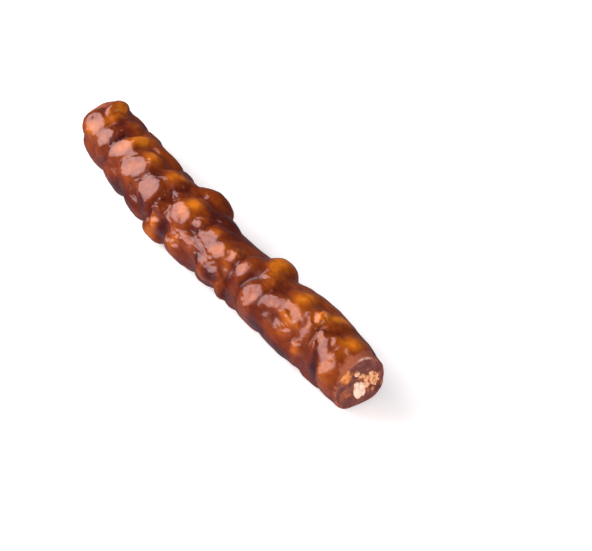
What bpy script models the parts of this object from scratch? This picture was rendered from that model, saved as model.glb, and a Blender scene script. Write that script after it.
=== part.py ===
"""Churchkhela: walnut kernels on a string, dipped in thickened grape must until a glossy coat has
set over them, with both ends cut off flat.

Metres, +Z up. The stick lies along X on the flattened spots of its own underside, at z = 0,
and its middle is over the origin. The cut that shows its kernels faces +X.
A turn is an angle round the stick: 0 is straight up, 90 faces -Y and 180 is the underside.
"""
import math
import random

import bmesh
import bpy

MM = 0.001

# The stick as a whole.
LENGTH = 190 * MM
HALF = LENGTH / 2
AXIS_HEIGHT = 12.4 * MM
MEAN_RADIUS = 13.0 * MM

# The string hung in a slow sideways wave, and the coat set in that shape.
WAVE_SIZE = 3.0 * MM
WAVE_LENGTH = 220 * MM
WAVE_START = 31 * MM
WAVE_OFFSET = 0.9 * MM

# The coat between two lobes, how fast a lobe falls away, and how softly lobes run together.
VALLEY_RADIUS = 11.2 * MM
LOBE_FALL = 2.4 * MM
LOBE_POWER = 2.9
BLEND = 0.75 * MM

# Nothing in the coat is quite round. Its lobes are shifted along the stick, in millimetres, and
# round it, in degrees, by waves of this size, this rate per millimetre, this many times round
# the stick and this phase.
SHIFT_ALONG = ((0.8, 0.31, 2, 1.0), (0.35, 0.53, -3, 0.0))
SHIFT_ROUND = ((3.5, 0.23, 2, 0.0), (1.6, 0.47, -4, 1.3))

# Each lobe is a kernel pushing the coat out: station and turn of its top, half its length along
# the stick and half its width round it, the radius of its top, and its lean in degrees.
# Stations and sizes are in millimetres. These are the ones on the side that faces up and towards
# -Y, read off by eye, from the far end to the near one.
SEEN_LOBES = (
    (-87, 48, 9, 8, 14.5, -10),
    (-87, -12, 4, 7, 15, -25),
    (-81, 12, 5, 6, 13, 0),
    (-84, 110, 8, 9, 13.8, 0),
    (-79, -62, 8, 7, 12, 0),
    (-75, 60, 6, 8, 14, 10),
    (-74, 20, 5, 6, 12.5, 0),
    (-72, -14, 6, 6, 13, 0),
    (-62, 27, 6, 11, 14.5, 20),
    (-61, -8, 5, 6, 13.5, 0),
    (-64, -42, 8, 6, 13.2, 0),
    (-62, 105, 10, 9, 14, 0),
    (-50, 33, 9, 12, 14.5, 30),
    (-49, 0, 6, 5, 13, 0),
    (-51, -42, 13, 5, 13.5, -10),
    (-36, -50, 5, 5, 13.2, 0),
    (-50, 78, 6, 6, 13, 0),
    (-44, 112, 9, 8, 14, 0),
    (-35, 42, 7, 10, 14, 10),
    (-37, 5, 5, 5, 12.5, 0),
    (-33, -12, 6, 7, 14, 30),
    (-33, 78, 5, 5, 13, 0),
    (-29, 122, 4, 7, 15.5, 0),
    (-24, 84, 4, 6, 13.5, 0),
    (-26, -45, 8, 5, 13, 0),
    (-17, -68, 8, 6, 17.5, -15),
    (-12, -6, 7, 7, 13.5, 0),
    (-13, 25, 8, 8, 14, -25),
    (-9, 96, 8, 7, 14.8, 10),
    (-23, 50, 4, 4, 12.8, 0),
    (-17, 50, 4, 3, 13, 0),
    (-4, 8, 4, 4, 13, 0),
    (-3, 24, 3, 3, 13.5, 0),
    (-2, -42, 11, 6, 13, 20),
    (-1, 66, 8, 5, 13.2, 0),
    (6, 8, 6, 6, 13, 0),
    (7, 31, 7, 7, 13.2, 0),
    (14, 34, 6, 8, 13.5, 0),
    (13, 76, 8, 7, 14.4, 0),
    (20, 104, 3, 7, 13.8, 15),
    (20, 20, 4, 6, 13.2, 0),
    (28, 31, 5, 7, 13.2, 0),
    (30, 4, 6, 6, 13, 0),
    (33, -50, 5, 11, 15, -10),
    (41, 64, 7, 10, 15, 0),
    (38, 113, 9, 8, 13.5, 0),
    (38, -2, 5, 5, 13, 0),
    (43, 20, 4, 5, 12.8, 0),
    (50, 35, 7, 6, 13.8, -10),
    (50, 78, 7, 6, 13.5, 0),
    (61, 20, 9, 8, 14, -20),
    (56, -10, 7, 6, 13.5, 0),
    (57, 100, 15, 9, 14, 0),
    (62, -50, 17, 10, 13.5, 0),
    (61, 60, 5, 4, 12.8, 0),
    (68, 2, 4, 6, 14, 10),
    (70, 70, 4, 7, 13, 0),
    (69, 106, 5, 7, 13.2, 0),
    (70, 33, 4, 5, 12.5, 0),
    (74, -18, 5, 7, 13, 0),
    (79, 31, 6, 8, 13, 0),
    (83, 12, 4, 4, 13, 0),
    (81, -50, 11, 11, 12, 0),
    (88, -10, 8, 8, 12.5, 0),
    (88, 58, 7, 9, 13.3, 0),
    (89, 94, 7, 9, 12.8, 0),
)

# The far side and the underside go on in the same way, in four rows of like lobes.
ROW_TURNS = (145, 182, 219, 256)
ROW_STATIONS = range(-78, 96, 17)
ROW_STEP = -8
ROW_HALF_LENGTH = (6.0, 8.0)
ROW_HALF_WIDTH = (7.0, 8.5)
ROW_TOP = (12.9, 13.8)
END_ZONE = 76
END_TOP_DROP = 1.0
STATION_JITTER = 2.5
TURN_JITTER = 7
SEED = 7

# Kernels fill the coat: thick where a lobe stands out, a neck where the coat dips, and never
# nearer to the surface than the skin of jelly over them.
NECK_RADIUS = 7.6 * MM
KERNEL_GAIN = 1.4
KERNEL_LIMIT = 11.6 * MM
SKIN = 1.3 * MM
CUT_DEPTH = 9 * MM
CUT_CORE = 3.8 * MM
CUT_BLEND = 0.3 * MM

# What a cut goes through: the turn of each piece of kernel, its half width and its reach from
# the middle, in millimetres.
NEAR_CUT = ((-160, 3.0, 7.2), (-95, 2.8, 9.4), (-10, 2.4, 5.8), (46, 3.0, 9.6))
FAR_CUT = ((-120, 3.4, 8.6), (-20, 3.2, 8.2), (70, 3.4, 9.0), (160, 2.6, 6.6))

# Faces round the stick and along it, and the clearance between the coat and the kernels.
AROUND = 36
COAT_BANDS = 76
KERNEL_BANDS = 48
CLEARANCE = 0.45 * MM
CLEAR_TURN = 7
CLEAR_STEP = 2.4 * MM

COAT_COLOUR = (0.165, 0.036, 0.006, 1.0)
KERNEL_COLOUR = (0.72, 0.46, 0.22, 1.0)


def all_lobes():
    """The lobes that are placed by hand, and the staggered rows that close the stick."""
    draw = random.Random(SEED)
    lobes = list(SEEN_LOBES)
    for row, turn in enumerate(ROW_TURNS):
        for station in ROW_STATIONS:
            place = station + ROW_STEP * (row % 2) + draw.uniform(-STATION_JITTER, STATION_JITTER)
            place_turn = turn + draw.uniform(-TURN_JITTER, TURN_JITTER)
            top = draw.uniform(*ROW_TOP) - (END_TOP_DROP if place > END_ZONE else 0)
            half_length, half_width = draw.uniform(*ROW_HALF_LENGTH), draw.uniform(*ROW_HALF_WIDTH)
            lobes.append((place, place_turn, half_length, half_width, top, 0))
    return lobes


LOBES = all_lobes()


def wrapped(turn):
    """The same turn between -180 and 180 degrees."""
    return (turn + 180) % 360 - 180


def shift(waves, x, turn):
    """The sum of some waves that run along the stick and round it."""
    return sum(
        size * math.sin(rate * x + times * math.radians(turn) + phase) for size, rate, times, phase in waves
    )


def coat_radius(station, turn):
    """Distance from the middle line to the outside of the coat: the lobes, run softly together."""
    x = station / MM
    x_bent = x + shift(SHIFT_ALONG, x, turn)
    turn_bent = turn + shift(SHIFT_ROUND, x, turn)
    total = math.exp(VALLEY_RADIUS / BLEND)
    for place, lobe_turn, half_length, half_width, top, lean in LOBES:
        along = x_bent - place
        across = math.radians(wrapped(turn_bent - lobe_turn)) * MEAN_RADIUS / MM
        cosine, sine = math.cos(math.radians(lean)), math.sin(math.radians(lean))
        u = (along * cosine + across * sine) / half_length
        v = (across * cosine - along * sine) / half_width
        fall = LOBE_FALL * math.hypot(u, v) ** LOBE_POWER
        total += math.exp((top * MM - fall) / BLEND)
    return BLEND * math.log(total)


def cut_radius(pieces, turn):
    """Outline of the kernels where a cut goes through them."""
    total = math.exp(CUT_CORE / CUT_BLEND)
    for piece_turn, half_width, reach in pieces:
        across = math.radians(wrapped(turn - piece_turn)) * reach / half_width
        total += math.exp(reach * MM * (1 - 0.35 * across ** 2) / CUT_BLEND)
    return CUT_BLEND * math.log(total)


def kernel_radius(station, turn):
    """Distance from the middle line to the outside of the kernels."""
    coat = coat_radius(station, turn)
    inside = min(NECK_RADIUS + KERNEL_GAIN * (coat - VALLEY_RADIUS), coat - SKIN, KERNEL_LIMIT)
    depth = HALF - abs(station)
    if depth >= CUT_DEPTH:
        return inside
    cut = cut_radius(NEAR_CUT if station > 0 else FAR_CUT, turn)
    ease = 0.5 + 0.5 * math.cos(math.pi * depth / CUT_DEPTH)
    return inside + (cut - inside) * ease


def cavity_radius(station, turn):
    """The hollow that the kernels fill: clear of them on their steep sides too."""
    around = [kernel_radius(station, turn + step) for step in (-CLEAR_TURN, 0, CLEAR_TURN)]
    beside = [min(HALF, max(-HALF, station + step)) for step in (-CLEAR_STEP, CLEAR_STEP)]
    along = [kernel_radius(place, turn) for place in beside]
    return max(around + along) + CLEARANCE


def middle_line(station):
    """How far the stick has swung sideways at this station."""
    return WAVE_OFFSET + WAVE_SIZE * math.sin(2 * math.pi * (station - WAVE_START) / WAVE_LENGTH)


def run(start, end, bands):
    """Evenly spaced stations from one end to the other."""
    return [start + (end - start) * step / bands for step in range(bands + 1)]


def turned_blank(profile, closed):
    """A profile of (station, radius) points turned once round X."""
    bm = bmesh.new()
    points = [bm.verts.new((station, 0, radius)) for station, radius in profile]
    pairs = list(zip(points, points[1:]))
    if closed:
        pairs.append((points[-1], points[0]))
    lines = [bm.edges.new(pair) for pair in pairs]
    bmesh.ops.spin(bm, geom=points + lines, axis=(1, 0, 0), angle=math.tau, steps=AROUND, use_merge=True)
    bmesh.ops.remove_doubles(bm, verts=bm.verts, dist=0.001 * MM)
    return bm


def middle_radius(station, turn):
    """The middle line itself, where a blank's end closes."""
    return 0


# A blank is turned at these plain radii, and each stands for one real surface.
COAT_BLANK = 13 * MM
CAVITY_BLANK = 9 * MM
KERNEL_BLANK = 8 * MM
SURFACES = (
    (COAT_BLANK, coat_radius),
    (CAVITY_BLANK, cavity_radius),
    (KERNEL_BLANK, kernel_radius),
    (0, middle_radius),
)


def shape_blank(bm):
    """Moves each point in or out to its own surface, and presses the underside flat at z = 0."""
    for vert in bm.verts:
        station, y, z = vert.co
        turn = math.atan2(-y, z)
        blank, radius = min(SURFACES, key=lambda surface: abs(surface[0] - math.hypot(y, z)))
        reach = radius(station, math.degrees(turn))
        side = middle_line(station) - reach * math.sin(turn)
        vert.co = (station, side, max(0, AXIS_HEIGHT + reach * math.cos(turn)))


def finish_solid(bm, name, colour, roughness, collection):
    """Turns the closed shape into an object of its own, with its material."""
    bmesh.ops.recalc_face_normals(bm, faces=bm.faces)
    mesh = bpy.data.meshes.new(name)
    bm.to_mesh(mesh)
    bm.free()
    mesh.shade_smooth()
    mesh.set_sharp_from_angle(angle=math.radians(50))
    material = bpy.data.materials.new(name)
    material.use_nodes = True
    shader = material.node_tree.nodes["Principled BSDF"]
    shader.inputs["Base Color"].default_value = colour
    shader.inputs["Roughness"].default_value = roughness
    shader.inputs["Metallic"].default_value = 0.0
    mesh.materials.append(material)
    collection.objects.link(bpy.data.objects.new(name, mesh))


def grape_jelly_coat(collection):
    """The dipped coat: lobed outside, hollow where the kernels sit, cut flat at both ends."""
    outside = [(station, COAT_BLANK) for station in run(-HALF, HALF, COAT_BANDS)]
    cavity = [(station, CAVITY_BLANK) for station in run(HALF, -HALF, KERNEL_BANDS)]
    bm = turned_blank(outside + cavity, closed=True)
    shape_blank(bm)
    finish_solid(bm, "grape_jelly_coat", COAT_COLOUR, 0.15, collection)


def walnut_kernels(collection):
    """The string of kernels from cut to cut, as one body."""
    outside = [(station, KERNEL_BLANK) for station in run(-HALF, HALF, KERNEL_BANDS)]
    bm = turned_blank([(-HALF, 0)] + outside + [(HALF, 0)], closed=False)
    shape_blank(bm)
    finish_solid(bm, "walnut_kernels", KERNEL_COLOUR, 0.6, collection)


for old in list(bpy.data.objects):
    bpy.data.objects.remove(old, do_unlink=True)
parts = bpy.data.collections.new("churchkhela")
bpy.context.scene.collection.children.link(parts)
grape_jelly_coat(parts)
walnut_kernels(parts)
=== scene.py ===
import math
import random

import bmesh
import bpy
import numpy as np
from mathutils import Matrix, Vector, noise


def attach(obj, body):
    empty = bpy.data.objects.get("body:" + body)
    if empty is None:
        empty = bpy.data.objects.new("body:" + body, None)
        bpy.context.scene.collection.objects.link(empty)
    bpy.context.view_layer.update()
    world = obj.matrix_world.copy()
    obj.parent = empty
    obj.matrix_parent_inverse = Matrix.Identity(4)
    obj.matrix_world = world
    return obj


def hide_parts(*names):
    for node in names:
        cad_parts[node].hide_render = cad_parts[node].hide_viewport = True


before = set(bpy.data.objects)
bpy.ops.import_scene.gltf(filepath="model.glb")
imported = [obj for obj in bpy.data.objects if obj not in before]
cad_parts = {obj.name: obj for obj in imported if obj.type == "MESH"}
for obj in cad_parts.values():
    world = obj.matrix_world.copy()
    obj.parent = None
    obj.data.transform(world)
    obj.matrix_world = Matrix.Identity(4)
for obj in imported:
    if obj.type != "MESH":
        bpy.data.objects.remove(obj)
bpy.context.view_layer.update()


# The coat: grape must boiled thick with flour, into which the threaded walnuts were dipped again
# and again and hung up to dry. It has set to a glossy, lobed jelly over the kernels, has settled
# flat where the stick lies, and both ends are cut off square.

# Sizes are in millimetres and turns in degrees: 0 is straight up, 90 faces -Y. MM makes them metres.
MM = 0.001
HALF = 95.0
AXIS_HEIGHT = 12.4
MEAN_RADIUS = 13.0
WAVE_SIZE, WAVE_LENGTH, WAVE_START, WAVE_OFFSET = 3.0, 220.0, 31.0, 0.9

# The coat between two lobes, how fast a lobe falls away, and how softly lobes run together. Along
# the stick a lobe adds nothing past LOBE_REACH times its larger half size and LOBE_MARGIN more, and
# its fall stops LOBE_EDGE half sizes off, where next to nothing of it is left.
VALLEY_RADIUS = 11.2
LOBE_FALL = 2.4
LOBE_POWER = 2.9
BLEND = 0.75
LOBE_REACH = 2.2
LOBE_MARGIN = 1
LOBE_EDGE = 4

# The lobes are shifted along the stick and round it by waves of this size, this rate along, this
# many times round and this start.
SHIFT_ALONG = ((0.8, 0.31, 2, 1.0), (0.35, 0.53, -3, 0.0))
SHIFT_ROUND = ((3.5, 0.23, 2, 0.0), (1.6, 0.47, -4, 1.3))

# Each lobe is a kernel pushing the jelly out: station and turn of its top, half its length and
# half its width, the radius of its top and its lean. These are the lobes of the side that shows,
# read off one by one.
SEEN_LOBES = (
    (-87, 48, 9, 8, 14.5, -10),
    (-87, -12, 4, 7, 15, -25),
    (-81, 12, 5, 6, 13, 0),
    (-84, 110, 8, 9, 13.8, 0),
    (-79, -62, 8, 7, 12, 0),
    (-75, 60, 6, 8, 14, 10),
    (-74, 20, 5, 6, 12.5, 0),
    (-72, -14, 6, 6, 13, 0),
    (-62, 27, 6, 11, 14.5, 20),
    (-61, -8, 5, 6, 13.5, 0),
    (-64, -42, 8, 6, 13.2, 0),
    (-62, 105, 10, 9, 14, 0),
    (-50, 33, 9, 12, 14.5, 30),
    (-49, 0, 6, 5, 13, 0),
    (-51, -42, 13, 5, 13.5, -10),
    (-36, -50, 5, 5, 13.2, 0),
    (-50, 78, 6, 6, 13, 0),
    (-44, 112, 9, 8, 14, 0),
    (-35, 42, 7, 10, 14, 10),
    (-37, 5, 5, 5, 12.5, 0),
    (-33, -12, 6, 7, 14, 30),
    (-33, 78, 5, 5, 13, 0),
    (-29, 122, 4, 7, 15.5, 0),
    (-24, 84, 4, 6, 13.5, 0),
    (-26, -45, 8, 5, 13, 0),
    (-17, -68, 8, 6, 17.5, -15),
    (-12, -6, 7, 7, 13.5, 0),
    (-13, 25, 8, 8, 14, -25),
    (-9, 96, 8, 7, 14.8, 10),
    (-23, 50, 4, 4, 12.8, 0),
    (-17, 50, 4, 3, 13, 0),
    (-4, 8, 4, 4, 13, 0),
    (-3, 24, 3, 3, 13.5, 0),
    (-2, -42, 11, 6, 13, 20),
    (-1, 66, 8, 5, 13.2, 0),
    (6, 8, 6, 6, 13, 0),
    (7, 31, 7, 7, 13.2, 0),
    (14, 34, 6, 8, 13.5, 0),
    (13, 76, 8, 7, 14.4, 0),
    (20, 104, 3, 7, 13.8, 15),
    (20, 20, 4, 6, 13.2, 0),
    (28, 31, 5, 7, 13.2, 0),
    (30, 4, 6, 6, 13, 0),
    (33, -50, 5, 11, 15, -10),
    (41, 64, 7, 10, 15, 0),
    (38, 113, 9, 8, 13.5, 0),
    (38, -2, 5, 5, 13, 0),
    (43, 20, 4, 5, 12.8, 0),
    (50, 35, 7, 6, 13.8, -10),
    (50, 78, 7, 6, 13.5, 0),
    (61, 20, 9, 8, 14, -20),
    (56, -10, 7, 6, 13.5, 0),
    (57, 100, 15, 9, 14, 0),
    (62, -50, 17, 10, 13.5, 0),
    (61, 60, 5, 4, 12.8, 0),
    (68, 2, 4, 6, 14, 10),
    (70, 70, 4, 7, 13, 0),
    (69, 106, 5, 7, 13.2, 0),
    (70, 33, 4, 5, 12.5, 0),
    (74, -18, 5, 7, 13, 0),
    (79, 31, 6, 8, 13, 0),
    (83, 12, 4, 4, 13, 0),
    (81, -50, 11, 11, 12, 0),
    (88, -10, 8, 8, 12.5, 0),
    (88, 58, 7, 9, 13.3, 0),
    (89, 94, 7, 9, 12.8, 0),
)

# The far side and the underside go on in the same way, in four rows of like lobes.
ROW_TURNS = (145, 182, 219, 256)
ROW_STATIONS = range(-78, 96, 17)
ROW_STEP = -8
ROW_HALF_LENGTH = (6.0, 8.0)
ROW_HALF_WIDTH = (7.0, 8.5)
ROW_TOP = (12.9, 13.8)
END_ZONE = 76
END_TOP_DROP = 1.0
STATION_JITTER = 2.5
TURN_JITTER = 7
SEED = 7

draw = random.Random(SEED)
lobes = list(SEEN_LOBES)
for row, row_turn in enumerate(ROW_TURNS):
    for row_station in ROW_STATIONS:
        place = row_station + ROW_STEP * (row % 2) + draw.uniform(-STATION_JITTER, STATION_JITTER)
        place_turn = row_turn + draw.uniform(-TURN_JITTER, TURN_JITTER)
        top = draw.uniform(*ROW_TOP) - (END_TOP_DROP if place > END_ZONE else 0)
        half_length, half_width = draw.uniform(*ROW_HALF_LENGTH), draw.uniform(*ROW_HALF_WIDTH)
        lobes.append((place, place_turn, half_length, half_width, top, 0))


def shift(waves, station, turn):
    """The sum of some waves that run along the stick and round it."""
    return sum(
        size * np.sin(rate * station + times * np.radians(turn) + start)
        for size, rate, times, start in waves
    )


def round_from(turn, place_turn):
    """How far round the stick each turn is from a place's turn, in millimetres."""
    return np.radians((turn - place_turn + 180) % 360 - 180) * MEAN_RADIUS


def in_halves(along, across, half_length, half_width, lean):
    """How far along and across a leaning oval each point is from its middle, in its half sizes."""
    cosine, sine = math.cos(math.radians(lean)), math.sin(math.radians(lean))
    return (along * cosine + across * sine) / half_length, (across * cosine - along * sine) / half_width


def coat_radius(station, turn):
    """Distance from the middle line to the jelly's surface: its lobes, run softly together."""
    bent_station = station + shift(SHIFT_ALONG, station, turn)
    bent_turn = turn + shift(SHIFT_ROUND, station, turn)
    total = np.full(station.shape, math.exp(VALLEY_RADIUS / BLEND))
    for place, lobe_turn, half_length, half_width, top, lean in lobes:
        near = np.abs(bent_station - place) < LOBE_REACH * max(half_length, half_width) + LOBE_MARGIN
        along, across = bent_station[near] - place, round_from(bent_turn[near], lobe_turn)
        u, v = in_halves(along, across, half_length, half_width, lean)
        fall = LOBE_FALL * np.minimum(np.hypot(u, v), LOBE_EDGE) ** LOBE_POWER
        total[near] += np.exp((top - fall) / BLEND)
    return BLEND * np.log(total)


# Folds and creases where the jelly ran and sagged between dips, read off too: station and
# turn, half length and half width, the height of a fold or the depth of a crease below 0, and lean.
FOLDS = (
    (-74, 42, 1.2, 6, 0.3, 0),
    (-70, 55, 4, 1.2, -0.3, -20),
    (-60, 18, 3, 1.2, 0.25, 0),
    (-57, 38, 1.0, 7, -0.4, 40),
    (-46, 24, 1.2, 4, -0.25, 10),
    (-42, 48, 1.2, 4, -0.4, 10),
    (-38, 50, 2.5, 2.5, 0.3, 0),
    (-29, 38, 1.2, 7, -0.4, 0),
    (-10, 61, 8, 0.9, -0.35, 4),
    (-7, 32, 1.0, 4, -0.3, -25),
    (-4, 34, 2.5, 2.5, -0.5, 0),
    (-1, 14, 1.5, 1.5, 0.3, 0),
    (5, 43, 5, 0.8, -0.3, 8),
    (7, 66, 1.2, 3, -0.5, 0),
    (10, 55, 6, 1.0, 0.3, 4),
    (15, 51, 4, 0.9, -0.35, 0),
    (17, 74, 3, 1.5, -0.4, 0),
    (23, 30, 1.0, 5, -0.4, -20),
    (24, 62, 1.2, 5, -0.4, -15),
    (33, 40, 1.6, 7, -0.25, 0),
    (45, 45, 1.2, 7, -0.4, 0),
    (43, 8, 4, 0.9, 0.3, 50),
    (50, 42, 3, 1.5, 0.25, 0),
    (61, 38, 8, 1.1, -0.35, 0),
    (67, 22, 2.5, 1.5, -0.4, 0),
    (73, 22, 1.2, 7, -0.6, -10),
    (78, 10, 1.0, 3, -0.4, 0),
    (78, 52, 1.0, 5, 0.3, -25),
    (81, 75, 1.4, 8, -0.7, -8),
    (85, 30, 1.0, 5, -0.3, -10),
    (88, 70, 2.0, 0.9, 0.3, 40),
)

# Thin strands where the last dip ran down and set, in the same terms.
STRANDS = (
    (-25, 2, 3.2, 0.5, 0.35, -44),
    (-20, -9, 3.6, 0.5, 0.35, -8),
    (-17, -28, 0.5, 4, 0.35, 0),
    (-13, -50, 0.5, 3.5, 0.3, -40),
    (-16, 54, 5, 0.5, 0.3, 5),
    (-8, 57, 6, 0.5, 0.4, -4),
    (3, 54, 7, 0.55, 0.45, 0),
    (-9, 62, 7, 0.5, 0.3, -4),
    (39, 7, 3.2, 0.5, 0.3, -24),
    (41, -22, 0.5, 6, 0.3, 5),
    (60, 51, 5, 0.45, 0.3, 0),
    (61, 43, 6, 0.45, 0.3, 3),
    (73.4, 50, 0.55, 4.5, 0.4, -8),
    (74.8, 72, 0.55, 3.5, 0.35, -12),
    (75, 2, 0.55, 6, 0.35, 12),
    (78, -32, 0.55, 4, 0.3, 20),
    (84, 86, 0.7, 5, 0.35, 0),
)

# A spot's strength falls off by this power of its squared distance.
SPOT_POWER = 1.25


def spots(table, station, turn):
    """The sum of soft oval spots: each row is a spot's station and turn, its half length and half
    width, its strength and its lean."""
    total = np.zeros(station.shape)
    for place, spot_turn, half_length, half_width, strength, lean in table:
        u, v = in_halves(station - place, round_from(turn, spot_turn), half_length, half_width, lean)
        total += strength * np.exp(-((u * u + v * v) ** SPOT_POWER))
    return total


# Between the kernels the skin has drawn into flats, read off: station and turn of each, its
# half length and half width, its lean and the turn that it faces. Those that face WINDOW_TURN
# mirror the window. A flat fades out at its edge by FLAT_POWER of the distance in its half sizes,
# until the fade is FADED, and the edges are frayed by waves like the ones that shift the lobes.
WINDOW_TURN = 37
FLAT_POWER = 4
FADED = 40
FRAY_ALONG = ((0.45, 0.9, 14, 0.3), (0.35, 1.7, -23, 2.0))
FRAY_ACROSS = ((0.45, 0.8, -13, 1.0), (0.35, 1.5, 25, 0.6))
STEEPEST = 80
FLATS = (
    (-84, 42, 4.5, 4.2, 0, 37),
    (-75, 42, 2.6, 4.6, 0, 37),
    (-63, 34, 6.5, 3.2, -39, 37),
    (-50, 36, 8, 3.4, -36, 37),
    (-44, 56, 3, 1.8, -30, 85),
    (-36, 39, 5.2, 4.6, 0, 37),
    (-24, 73, 1.8, 1.6, 0, 37),
    (-25, 34, 3, 4.5, 0, -5),
    (-12.5, 28, 5.5, 2.6, 22, 37),
    (-9, 71, 5, 2, 0, 85),
    (-4, 22, 2.2, 1.1, 0, 37),
    (-2, 55, 9, 1.0, -2, 37),
    (4, 31, 4.6, 2.2, 0, 37),
    (13, 33, 4.2, 3, 0, 37),
    (20, 25, 2.5, 2.2, -20, 37),
    (9, 58, 3.6, 2.4, 0, 37),
    (16, 63, 4.8, 1.6, 12, 37),
    (27.5, 31, 2.6, 2.4, 30, 37),
    (41, 52, 3.0, 4.2, 20, 37),
    (51, 38, 5, 2.2, -20, 37),
    (60, 26, 6.5, 2.2, 5, 37),
    (60, 47, 6, 2.4, 0, 80),
    (69, 8, 2.6, 2.2, 45, 37),
    (69.5, 30, 1.5, 1.8, 0, 37),
    (69, 65, 2.6, 0.9, -45, 37),
    (78.5, 32, 6, 1.7, 32, 37),
    (82.3, 17, 1.3, 1.5, 0, 37),
    (87.5, 53, 2.8, 3.6, 0, 37),
)


def drawn_flat(radius, station, turn):
    """The surface with its flats: each keeps its place, but turns to face one way."""
    fray_along = shift(FRAY_ALONG, station, turn)
    fray_across = shift(FRAY_ACROSS, station, turn)
    for place, flat_turn, half_length, half_width, lean, facing in FLATS:
        along, across = station - place + fray_along, round_from(turn, flat_turn) + fray_across
        u, v = in_halves(along, across, half_length, half_width, lean)
        inside = np.exp(-np.minimum(u ** FLAT_POWER + v ** FLAT_POWER, FADED))
        tilt = np.cos(np.radians(np.clip(turn - facing, -STEEPEST, STEEPEST)))
        level = np.sum(inside * radius * tilt) / np.sum(inside)
        radius = radius + inside * (level / tilt - radius)
    return radius


def middle_line(station):
    """How far the stick swings sideways at this station."""
    return WAVE_OFFSET + WAVE_SIZE * np.sin(2 * np.pi * (station - WAVE_START) / WAVE_LENGTH)


# The blank is a grid rolled up round the stick. From cut to cut its rings follow a profile: out
# across one cut face, over a small round at its rim, along the side in fine steps and in again. A
# spin would make the same blank, but with its faces in another order on each run.
BLANK_RADIUS = 10
AROUND = 220
STEPS_ALONG = 380
CUT_RINGS = 24
RIM = 0.9
RIM_STEPS = 5
SEAM = 0.001
cut_rings = [(HALF, (1 - RIM / MEAN_RADIUS) * ring / CUT_RINGS) for ring in range(CUT_RINGS)]
for step in range(RIM_STEPS):
    angle = 0.5 * math.pi * step / RIM_STEPS
    cut_rings.append((HALF - RIM * (1 - math.cos(angle)), 1 - RIM / MEAN_RADIUS * (1 - math.sin(angle))))
side_length = 2 * (HALF - RIM)
profile = [(-station, share) for station, share in cut_rings]
profile += [(side_length * (step / STEPS_ALONG - 0.5), 1.0) for step in range(STEPS_ALONG + 1)]
profile += cut_rings[::-1]
bm = bmesh.new()
bmesh.ops.create_grid(bm, x_segments=len(profile) - 1, y_segments=AROUND, size=0.5)
for point in bm.verts:
    station, share = profile[round((point.co.x + 0.5) * (len(profile) - 1))]
    reach, angle = BLANK_RADIUS * share, math.tau * (point.co.y + 0.5)
    point.co = station, -reach * math.sin(angle), reach * math.cos(angle)
bmesh.ops.remove_doubles(bm, verts=bm.verts, dist=SEAM)
bmesh.ops.recalc_face_normals(bm, faces=bm.faces)
coat_mesh = bpy.data.meshes.new("jelly_coat")
bm.to_mesh(coat_mesh)
bm.free()

blank = np.zeros(len(coat_mesh.vertices) * 3, dtype=np.float32)
coat_mesh.vertices.foreach_get("co", blank)
blank = blank.reshape(-1, 3).astype(float)
station = blank[:, 0]
turn = np.degrees(np.arctan2(-blank[:, 1], blank[:, 2]))
share = np.hypot(blank[:, 1], blank[:, 2]) / BLANK_RADIUS
full_radius = drawn_flat(coat_radius(station, turn) + spots(FOLDS, station, turn), station, turn)
full_radius += spots(STRANDS, station, turn)

# Nothing on it is quite even: low dimples all over, about 5 mm apart, with two finer sizes on
# them, each a rate and a height, and each end draws in a little towards its cut.
DIMPLES = ((0.2, 0.16), (0.45, 0.09), (1.0, 0.035))
DRAWN_IN = 0.5
DRAWN_FROM = 88
angle = np.radians(turn)
around_x = np.stack([station, full_radius * np.sin(angle), full_radius * np.cos(angle)], 1)
for rate, size in DIMPLES:
    full_radius += size * np.array([noise.noise(Vector(point)) for point in (around_x * rate).tolist()])
full_radius -= DRAWN_IN * np.clip((np.abs(station) - DRAWN_FROM) / (HALF - DRAWN_FROM), 0, 1) ** 2

# Underneath, what would hang below the table has settled softly onto it.
SETTLES_BELOW = 1.5
SETTLING = 0.22
reach = full_radius * share
side = middle_line(station) - reach * np.sin(angle)
height = AXIS_HEIGHT + reach * np.cos(angle)
settled = SETTLING * np.logaddexp(0, height / SETTLING)
height = np.where(height < SETTLES_BELOW, settled, height)
placed = np.stack([station, side, height], axis=1) * MM
coat_mesh.vertices.foreach_set("co", placed.astype(np.float32).ravel())
coat_mesh.update()
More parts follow.
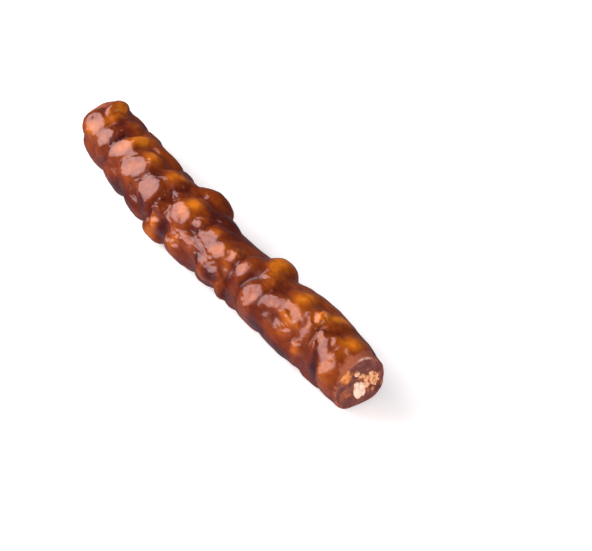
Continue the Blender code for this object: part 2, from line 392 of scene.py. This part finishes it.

# Where kernels lie close under the skin the jelly is amber, and where it is thick it is maroon.
# Tone is 0 for nearly black and 1 for bright amber, with painted light and shade added in. These
# patches of the side that shows are brighter or darker than the rest, in the same terms as folds.
# The long first one is a painted sheen along the far side, and the dark ones on the far side and
# low on the near flank are painted shade.
TONE_LIGHT_AND_SHADE_PATCHES = (
    (0, -36, 100, 6, 0.08, 0),
    (-85, 55, 5, 4, 0.35, 0),
    (-83, -14, 5, 4, 0.35, 30),
    (-81, 20, 4, 3, 0.3, 0),
    (-77, 2, 3, 6, -0.3, -10),
    (-71, -15, 4, 3, 0.25, 0),
    (-69, 28, 3, 7, -0.3, 0),
    (-61, -6, 4, 3.5, 0.5, 0),
    (-55, 100, 9, 5, -0.4, 0),
    (-47, 3, 5, 2.5, 0.35, 0),
    (-50, 55, 4, 2.5, 0.15, 0),
    (-37, 11, 4, 3, -0.35, 0),
    (-35, 72, 3, 4, -0.4, 0),
    (-32, -9, 3, 6, 0.45, 30),
    (-26, -13, 3, 4, -0.2, 0),
    (-27, 104, 3, 7, 0.5, 30),
    (-24, 40, 3, 7, -0.25, -20),
    (-19, 76, 3, 6, -0.2, 20),
    (-13, 2, 4, 3, 0.4, 0),
    (-9, 72, 4, 5, 0.35, 0),
    (-4, -22, 6, 4, -0.35, 0),
    (-3, 34, 2.5, 2.5, -0.2, 0),
    (7, -32, 8, 5, -0.3, 0),
    (6, 12, 3, 2.5, 0.4, 0),
    (7, 68, 2, 3, -0.4, 0),
    (11, 84, 3, 4, 0.25, 0),
    (17, 74, 4, 2, -0.35, 0),
    (20, 43, 3, 2, 0.25, 0),
    (22, 78, 2.5, 3, 0.25, 0),
    (24, 52, 2, 7, -0.25, 0),
    (33, 42, 2, 9, -0.2, 0),
    (35, -25, 4, 9, 0.5, -35),
    (45, 42, 2, 8, -0.2, 0),
    (48, 100, 6, 5, -0.4, 0),
    (57, -5, 5, 5, 0.35, 0),
    (60, 40, 6, 1.5, 0.3, 0),
    (60, 66, 5, 3, 0.15, 0),
    (63, 105, 6, 4, -0.35, 0),
    (70, 76, 3, 2, 0.25, 0),
    (72, -20, 3, 8, 0.45, 20),
    (80, 80, 2, 9, -0.35, 0),
    (87, 2, 4, 7, 0.25, 0),
)
BASE_TONE = 0.41

# A lobe is as bright as its kernel lies near: a patch of this share of its size, a few degrees
# above its top.
LOBE_BRIGHTNESS = (-0.1, 0.25)
LOBE_SHARE = 0.7
LOBE_LIFT = 8
patches = list(TONE_LIGHT_AND_SHADE_PATCHES)
for place, place_turn, half_length, half_width, top, lean in lobes:
    size = LOBE_SHARE * half_length, LOBE_SHARE * half_width
    patches.append((place, place_turn - LOBE_LIFT, *size, draw.uniform(*LOBE_BRIGHTNESS), lean))
tone_lit_and_shaded = BASE_TONE + spots(patches, station, turn)

# Painted shade: the coat is darker away from its top, over its flanks and underside.
UNDERSIDE_SHADE_FROM, UNDERSIDE_SHADE_OVER = 55, 40
UNDERSIDE_SHADE = 0.16
tone_lit_and_shaded -= UNDERSIDE_SHADE * np.clip((np.abs(turn) - UNDERSIDE_SHADE_FROM) / UNDERSIDE_SHADE_OVER, 0, 1)

# Flats that face the window are brighter where the skin is drawn tight over a kernel, and this
# brightness is also a painted highlight where the window is mirrored.
FLAT_HIGHLIGHT_BRIGHTNESS = 0.16
FLAT_SHARE = 0.8
tight_and_highlit = []
for place, place_turn, half_length, half_width, lean, facing in FLATS:
    if facing == WINDOW_TURN:
        size = FLAT_SHARE * half_length, FLAT_SHARE * half_width
        tight_and_highlit.append((place, place_turn, *size, FLAT_HIGHLIGHT_BRIGHTNESS, lean))
tone_lit_and_shaded += spots(tight_and_highlit, station, turn)

# The creases between lobes get painted shade: there the coat a step away, along or round, stands higher.
CREASE_STEPS = ((1.2, 0), (-1.2, 0), (0, 5), (0, -5))
CREASE_DEPTH = 0.3
CREASE_SHADE = 0.12
ON_THE_SIDE = 0.99
beside = [coat_radius(station + along, turn + across) for along, across in CREASE_STEPS]
hollow = np.clip((sum(beside) / len(beside) - coat_radius(station, turn)) / CREASE_DEPTH, 0, 1)
tone_lit_and_shaded -= hollow * CREASE_SHADE * (share > ON_THE_SIDE)

# In the cuts an orange light comes through the jelly where kernels lie just under it: each spot's
# end, its place from the middle, its half width and half height, its lean and its strength. The
# spots' edges drift in and out, and fade by GLOW_POWER of the distance in half sizes.
GLOWS = (
    (1, -6.4, 5.4, 2.9, 3.2, 20, 0.8),
    (1, 3.4, -0.6, 5.0, 4.4, 10, 0.5),
    (1, 9.6, -4.1, 1.0, 1.2, 0, 0.5),
    (1, -7.5, -3.0, 3.4, 3.0, 30, 0.34),
    (-1, -1.0, 1.0, 6.0, 5.6, -20, 0.5),
    (-1, 6.6, 4.2, 2.4, 3.0, -30, 0.9),
)
CUT_FACE = HALF - 0.2
GLOW_POWER = 3
DRIFT_RATE = 0.7
DRIFT = 1.2
drift = np.array([noise.noise_vector(Vector(point)) for point in (placed / MM * DRIFT_RATE).tolist()])
glow = np.zeros(station.shape)
for end, spot_side, spot_height, half_width, half_height, lean, strength in GLOWS:
    across = side - middle_line(station) - spot_side + DRIFT * drift[:, 1]
    upward = height - AXIS_HEIGHT - spot_height + DRIFT * drift[:, 2]
    u, v = in_halves(across, upward, half_width, half_height, lean)
    glow += strength * np.exp(-np.hypot(u, v) ** GLOW_POWER) * (station * end > CUT_FACE)

# A knife leaves the last few millimetres before a cut dull and milky, most of all on top.
DULL_FROM, DULL_OVER = 91, 1.6
DULL_LESS = 2.8
TOP_HALF, TOP_FADE = 36, 14
dull_from = DULL_FROM + DULL_LESS * np.clip((np.abs(turn) - TOP_HALF) / TOP_FADE, 0, 1)
dull = np.clip((np.abs(station) - dull_from + DRIFT * drift[:, 0]) / DULL_OVER, 0, 1)

# A pale line along the top of each cut's rim, here and there, is a painted highlight on the rim's edge.
GLINT_BACK, GLINT_WIDTH = 0.3, 0.24
GLINT_TURN, GLINT_FADE, GLINT_HOLDS = -12, 14, 1.5
GLINT_WHOLE = 0.6
rim_glint = np.exp(-((HALF - GLINT_BACK - np.abs(station)) / GLINT_WIDTH) ** 2)
rim_glint *= np.clip(GLINT_HOLDS - np.abs(turn - GLINT_TURN) / GLINT_FADE, 0, 1)
rim_glint *= np.clip(GLINT_WHOLE + drift[:, 0], 0, 1)

for name, values in (("tone_lit_and_shaded", tone_lit_and_shaded), ("glow", glow), ("dull", dull), ("rim_glint", rim_glint)):
    attribute = coat_mesh.attributes.new(name, "FLOAT", "POINT")
    attribute.data.foreach_set("value", values.astype(np.float32))


def feed(tree, node, inputs):
    """Gives each of a node's inputs, by name or number, a plain value or the socket that feeds it."""
    for name, value in inputs.items():
        if isinstance(value, bpy.types.NodeSocket):
            tree.links.new(value, node.inputs[name])
        else:
            node.inputs[name].default_value = value


def add(tree, kind, inputs, **settings):
    """A new node of this kind, with its settings and what its inputs get."""
    node = tree.nodes.new("ShaderNode" + kind)
    for name, value in settings.items():
        setattr(node, name, value)
    feed(tree, node, inputs)
    return node


def maths(tree, operation, *values, clamp=False):
    """One step of arithmetic on these numbers or sockets."""
    return add(tree, "Math", dict(enumerate(values)), operation=operation, use_clamp=clamp).outputs[0]


def mix(tree, share, first, second):
    """The first colour going over to the second by this share."""
    inputs = {"Factor": share, "A": first, "B": second}
    return add(tree, "Mix", inputs, data_type="RGBA").outputs["Result"]


def ramp(tree, value, *stops):
    """The colour at this value on a ramp with these stops: position and linear red, green and blue."""
    node = add(tree, "ValToRGB", {0: value})
    marks = node.color_ramp.elements
    for mark, (position, colour) in zip(marks, (stops[0], stops[-1])):
        mark.position = position
        mark.color = (*colour, 1)
    for position, colour in stops[1:-1]:
        marks.new(position).color = (*colour, 1)
    return node.outputs["Color"]


def painted(tree, name):
    """What the mesh says at each point under this name."""
    return add(tree, "Attribute", {}, attribute_name=name).outputs["Fac"]


def grain_group():
    """Grain, as all three materials have it: a cloud of light and dark, and its relief as a normal."""
    group = bpy.data.node_groups.new("grain", "ShaderNodeTree")
    group.interface.new_socket(name="Place", in_out="INPUT", socket_type="NodeSocketVector")
    for name in ("Scale", "Detail", "Harshness", "Depth"):
        group.interface.new_socket(name=name, in_out="INPUT", socket_type="NodeSocketFloat")
    group.interface.new_socket(name="Cloud", in_out="OUTPUT", socket_type="NodeSocketFloat")
    group.interface.new_socket(name="Normal", in_out="OUTPUT", socket_type="NodeSocketVector")
    given = group.nodes.new("NodeGroupInput").outputs
    inputs = {"Vector": given["Place"], "Scale": given["Scale"], "Detail": given["Detail"]}
    cloud = add(group, "TexNoise", {**inputs, "Roughness": given["Harshness"]}).outputs["Fac"]
    relief = add(group, "Bump", {"Strength": 1.0, "Distance": given["Depth"], "Height": cloud})
    feed(group, group.nodes.new("NodeGroupOutput"), {"Cloud": cloud, "Normal": relief.outputs["Normal"]})
    return group


grain_tree = grain_group()


def grain(tree, place, scale, detail, harshness=0.5, depth=0.0):
    """The outputs of a grain of this scale, detail and harshness, and this depth in metres."""
    inputs = {"Place": place, "Scale": scale, "Detail": detail, "Harshness": harshness, "Depth": depth}
    node = add(tree, "Group", {}, node_tree=grain_tree)
    feed(tree, node, inputs)
    return node.outputs


def new_material(name):
    """A new material, its node tree and its shader."""
    material = bpy.data.materials.new(name)
    material.use_nodes = True
    return material, material.node_tree, material.node_tree.nodes["Principled BSDF"]


def grape_jelly():
    """The side: amber to maroon, with light and shade painted into its colour, and glossy, but
    dull and milky by a cut, with a painted highlight along the top of each cut's rim.
    """
    material, tree, shader = new_material("grape_jelly")
    place = add(tree, "TexCoord", {}).outputs["Object"]
    drawn = add(tree, "Mapping", {"Vector": place, "Scale": (0.6, 1, 1)}).outputs["Vector"]
    cloud = grain(tree, drawn, 300, 5, 0.62)["Cloud"]
    uneven = maths(tree, "MULTIPLY_ADD", cloud, 0.7, painted(tree, "tone_lit_and_shaded"))
    amber = ramp(
        tree, maths(tree, "SUBTRACT", uneven, 0.35, clamp=True),
        (0.0, (0.045, 0.005, 0.003)),
        (0.25, (0.115, 0.014, 0.003)),
        (0.5, (0.22, 0.038, 0.004)),
        (0.75, (0.4, 0.09, 0.004)),
        (1.0, (0.72, 0.2, 0.008)),
    )
    milky = mix(tree, painted(tree, "dull"), amber, (0.36, 0.095, 0.04, 1))
    # Painted highlight along the top of each cut's rim.
    glinting = mix(tree, painted(tree, "rim_glint"), milky, (0.75, 0.5, 0.46, 1))
    sheen = add(tree, "MapRange", {"Value": painted(tree, "dull"), "To Min": 0.12, "To Max": 0.42})
    feed(tree, shader, {
        "Base Color": glinting,
        "Roughness": sheen.outputs["Result"],
        "Normal": grain(tree, drawn, 380, 3, 0.55, 0.0003)["Normal"],
        "IOR": 1.43,
        "Specular Tint": (1.0, 0.8, 0.86, 1),
        "Subsurface Weight": 0.12,
        "Subsurface Radius": (1.0, 0.25, 0.08),
        "Subsurface Scale": 0.002,
    })
    return material


def cut_grape_jelly():
    """The cut faces: milky maroon with knife marks, and golden where light comes through."""
    material, tree, shader = new_material("cut_grape_jelly")
    place = add(tree, "TexCoord", {}).outputs["Object"]
    cloud = grain(tree, place, 380, 5)["Cloud"]
    milk = ramp(
        tree, cloud,
        (0.3, (0.12, 0.03, 0.025)),
        (0.5, (0.18, 0.05, 0.04)),
        (0.72, (0.3, 0.1, 0.08)),
    )
    ragged = maths(tree, "MULTIPLY_ADD", cloud, 1.5, -0.75)
    lit = maths(tree, "ADD", painted(tree, "glow"), ragged, clamp=True)
    gold = ramp(
        tree, lit,
        (0.25, (0.3, 0.07, 0.03)),
        (0.6, (0.62, 0.19, 0.045)),
        (1.0, (0.9, 0.42, 0.12)),
    )
    shows = add(tree, "MapRange", {"Value": lit, "From Min": 0.12, "From Max": 0.45}).outputs["Result"]
    dragged = {"Vector": place, "Rotation": (math.radians(35), 0, 0), "Scale": (1, 0.25, 1)}
    knife = add(tree, "Mapping", dragged).outputs["Vector"]
    feed(tree, shader, {
        "Base Color": mix(tree, shows, milk, gold),
        "Roughness": 0.34,
        "Normal": grain(tree, knife, 900, 3, depth=0.00012)["Normal"],
        "IOR": 1.45,
        "Subsurface Weight": 0.25,
        "Subsurface Radius": (1.0, 0.35, 0.15),
        "Subsurface Scale": 0.002,
    })
    return material


def new_piece(mesh, node):
    """The object of this mesh, smooth and on the root body, standing for a node of the solids, which it
    hides.
    """
    mesh.shade_smooth()
    piece = bpy.data.objects.new(mesh.name, mesh)
    bpy.context.scene.collection.objects.link(piece)
    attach(piece, "root")
    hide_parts(node)


# A face is of the cut where its middle is no further than this from the cut's plane.
FACE_DEPTH = 0.06
coat_mesh.materials.append(grape_jelly())
coat_mesh.materials.append(cut_grape_jelly())
centres = np.zeros(len(coat_mesh.polygons) * 3, dtype=np.float32)
coat_mesh.polygons.foreach_get("center", centres)
in_cut = np.abs(centres[::3]) > (HALF - FACE_DEPTH) * MM
coat_mesh.polygons.foreach_set("material_index", in_cut.astype(np.int32))
new_piece(coat_mesh, "grape_jelly_coat")


# The kernels that show in the cuts: broken walnut halves, cream where the flesh is cut and golden
# at the skin, held in the jelly. A knife breaks a kernel more than it slices it, so its face
# stands a little proud of the cut, in crumbs with painted shade in their crevices.
KERNELS = (
    # end, place to the side and height from the middle, half width and height, lean, skin tone
    (1, -0.8, -2.5, 2.4, 4.4, 13, 0.0),
    (1, 5.7, 0.4, 2.3, 3.4, 22, 0.5),
    (1, -1.5, 5.4, 1.2, 1.3, 0, 0.4),
    (1, 2.4, 1.6, 1.4, 1.5, 10, 0.55),
    (1, 2.7, -1.6, 1.2, 1.6, -15, 0.4),
    (1, 0.6, 3.4, 1.3, 1.0, 0, 0.5),
    (1, 5.2, -4.8, 0.9, 1.0, 0, 0.9),
    (-1, -3.2, 1.4, 3.0, 4.4, -24, 0.1),
    (-1, 2.4, -2.2, 2.6, 3.4, 30, 0.7),
    (-1, 1.0, 3.6, 1.5, 1.8, 10, 0.4),
    (-1, -1.2, -4.6, 1.4, 1.6, 0, 0.3),
    (-1, 5.0, 1.6, 1.1, 1.6, 20, 0.9),
)

# A kernel is this deep for its height and width, and its middle this share of that behind the cut.
KERNEL_DEPTH = 0.9
KERNEL_SET_BACK = 0.35

# Its lumps: the size and rate of each swell, and how far over in the noise the next kernel reads.
SWELLS = ((0.34, 1.3, 7.1, 0.0), (0.16, 3.1, 0.0, 5.3), (0.06, 8.0, 0.0, 0.0))

# Its broken face: each crumb's rate and height, how far the face stands proud, how softly it
# rises to that, and how much painted shade darkens its crevices.
CRUMBS = ((0.35, 0.45), (0.85, 0.24), (2.2, 0.05))
CUT_DOME = 0.9
DOME_RISE = 0.8
CREVICE_SHADE = 0.9

bm = bmesh.new()
skin_and_shade_layer = bm.verts.layers.float.new("skin")
for number, (end, spot_side, spot_height, half_width, half_height, lean, skin) in enumerate(KERNELS):
    lump = bmesh.ops.create_icosphere(bm, subdivisions=5, radius=1)["verts"]
    depth = KERNEL_DEPTH * (half_width + half_height)
    in_from_cut = end * (HALF - KERNEL_SET_BACK * depth)
    middle = Vector((in_from_cut, middle_line(end * HALF) + spot_side, AXIS_HEIGHT + spot_height))
    spin = Matrix.Rotation(math.radians(lean), 3, "X")
    for vertex in lump:
        way = vertex.co.copy()
        swell = 1
        for size, rate, start_x, start_y in SWELLS:
            swell += size * noise.noise(way * rate + Vector((start_x * number, start_y * number, 0)))
        place = middle + spin @ Vector((way.x * depth, way.y * half_width, way.z * half_height)) * swell
        over = place.x * end - HALF
        crumb = sum(size * noise.noise(place * rate) for rate, size in CRUMBS)
        # The skin value also carries painted shade, darker in the crumbs' crevices.
        vertex[skin_and_shade_layer] = skin - CREVICE_SHADE * min(0, crumb)
        if over > 0:
            place.x = end * (HALF + (CUT_DOME + crumb) * (1 - math.exp(-over / DOME_RISE)))
        vertex.co = place * MM
kernel_mesh = bpy.data.meshes.new("cut_kernels")
bm.to_mesh(kernel_mesh)
bm.free()


def walnut_flesh():
    """Walnut: cream inside, through gold to brown at the skin, and crumbly, with painted shade in its
    crevices.
    """
    material, tree, shader = new_material("walnut_flesh")
    place = add(tree, "TexCoord", {}).outputs["Object"]
    mixed = maths(tree, "MULTIPLY_ADD", grain(tree, place, 700, 4)["Cloud"], 0.9, painted(tree, "skin"))
    cream = ramp(
        tree, maths(tree, "MULTIPLY", mixed, 0.7),
        (0.35, (0.97, 0.7, 0.55)),
        (0.55, (0.9, 0.52, 0.33)),
        (0.8, (0.72, 0.3, 0.1)),
        (1.0, (0.3, 0.07, 0.025)),
    )
    feed(tree, shader, {
        "Base Color": cream,
        "Roughness": 0.42,
        "Normal": grain(tree, place, 1600, 3, depth=0.00025)["Normal"],
        "IOR": 1.46,
        "Subsurface Weight": 0.3,
        "Subsurface Radius": (1.0, 0.5, 0.25),
        "Subsurface Scale": 0.0015,
    })
    return material


kernel_mesh.materials.append(walnut_flesh())
new_piece(kernel_mesh, "walnut_kernels")


# The stage, in metres: a plain white table, the light of a studio window from the upper left and a
# camera that looks down on the stick at a slant.

CAMERA_TURN, CAMERA_RISE = math.radians(57.8), math.radians(40)
back = Vector((
    math.sin(CAMERA_TURN) * math.cos(CAMERA_RISE),
    -math.cos(CAMERA_TURN) * math.cos(CAMERA_RISE),
    math.sin(CAMERA_RISE),
))
right = Vector((math.cos(CAMERA_TURN), math.sin(CAMERA_TURN), 0))
up = back.cross(right)

TABLE_HALF = 1.4
table = bmesh.new()
bmesh.ops.create_grid(table, x_segments=1, y_segments=1, size=TABLE_HALF)
table_mesh = bpy.data.meshes.new("table_top")
table.to_mesh(table_mesh)
table.free()
white, white_tree, white_shader = new_material("white_table")
feed(white_tree, white_shader, {
    "Base Color": (0.9, 0.9, 0.9, 1),
    "Roughness": 0.9,
    "Emission Color": (1, 1, 1, 1),
    "Emission Strength": 0.4,
})
table_mesh.materials.append(white)
table_top = bpy.data.objects.new("table_top", table_mesh)
bpy.context.scene.collection.objects.link(table_top)
table_top.visible_glossy = False


def softbox(name, direction, distance, size, radiance, colour):
    """A rectangular light that faces the stick."""
    lamp = bpy.data.lights.new(name, "AREA")
    lamp.shape = "RECTANGLE"
    lamp.size, lamp.size_y = size
    lamp.energy = radiance * math.pi * size[0] * size[1]
    lamp.color = colour
    holder = bpy.data.objects.new(name, lamp)
    holder.location = direction.normalized() * distance
    holder.rotation_euler = direction.to_track_quat("Z", "Y").to_euler()
    bpy.context.scene.collection.objects.link(holder)
    return holder


# The window is paler at its edges than in its middle. The fill lights the near cut and shows in
# nothing, and the rear window shows in the coat from behind and lights nothing.
window_way = -0.774 * right + 0.609 * up + 0.062 * back
middle_way = window_way + 0.05 * right + 0.05 * up
softbox("window", window_way, 1.2, (1.18, 1.12), 4.4, (1.0, 0.95, 0.95))
softbox("window_middle", middle_way, 1.19, (0.6, 0.5), 1.9, (1.0, 0.84, 0.74))
fill = softbox("fill", Vector((0.86, -0.22, 0.46)), 1.3, (1.3, 1.3), 2.3, (1.0, 0.98, 0.96))
fill.visible_glossy = False
rear = softbox("rear_window", Vector((0.77, 0.31, 0.56)), 1.2, (0.9, 0.9), 3.6, (1.0, 0.95, 0.95))
rear.visible_diffuse = False

# Round the stick the studio is dark, with a pale bench low in front of it and, beside the window,
# a wall that the window lights. Each has the direction to it, and its ramp from away to straight at.
BENCH = ((-0.065, -0.740, -0.669), (
    (0.0, (0.13, 0.11, 0.13)),
    (0.35, (0.13, 0.11, 0.13)),
    (0.8, (0.36, 0.30, 0.35)),
    (0.93, (0.55, 0.46, 0.53)),
    (1.0, (0.95, 0.80, 0.90)),
))
LIT_WALL = ((-0.254, -0.698, 0.669), (
    (0.72, (0.0, 0.0, 0.0)),
    (0.88, (0.4, 0.38, 0.38)),
    (1.0, (1.5, 1.42, 1.4)),
))
PLAIN_WALL = (1.1, 1.1, 1.1, 1)


def lit_from(sky, direction, stops):
    """The light that comes from round this direction."""
    look = add(sky, "TexCoord", {}).outputs["Generated"]
    toward = add(sky, "VectorMath", {0: look, 1: direction}, operation="DOT_PRODUCT").outputs["Value"]
    return ramp(sky, toward, *stops)


# The camera itself looks at a plain pale wall.
world = bpy.data.worlds.new("studio")
world.use_nodes = True
bpy.context.scene.world = world
sky = world.node_tree
both = {"Factor": 1, "A": lit_from(sky, *BENCH), "B": lit_from(sky, *LIT_WALL)}
around = add(sky, "Mix", both, data_type="RGBA", blend_type="ADD").outputs["Result"]
seen = add(sky, "LightPath", {}).outputs["Is Camera Ray"]
feed(sky, sky.nodes["Background"], {"Color": mix(sky, seen, around, PLAIN_WALL)})

# The camera aims just above the table, with the stick a little up and to the left in the frame.
AIM = Vector((0, 0.00235, 0.0127))
EYE_BACK, EYE_RIGHT, EYE_DOWN = 0.897, 0.0285, 0.0122
LENS = 139.86
camera_data = bpy.data.cameras.new("camera")
camera_data.lens = LENS
camera_data.clip_start = 0.01
camera = bpy.data.objects.new("camera", camera_data)
eye = AIM + back * EYE_BACK + right * EYE_RIGHT - up * EYE_DOWN
camera.matrix_world = Matrix.Translation(eye) @ Matrix((right, up, back)).transposed().to_4x4()
bpy.context.scene.collection.objects.link(camera)
bpy.context.scene.camera = camera
bpy.context.scene.view_settings.view_transform = "Standard"
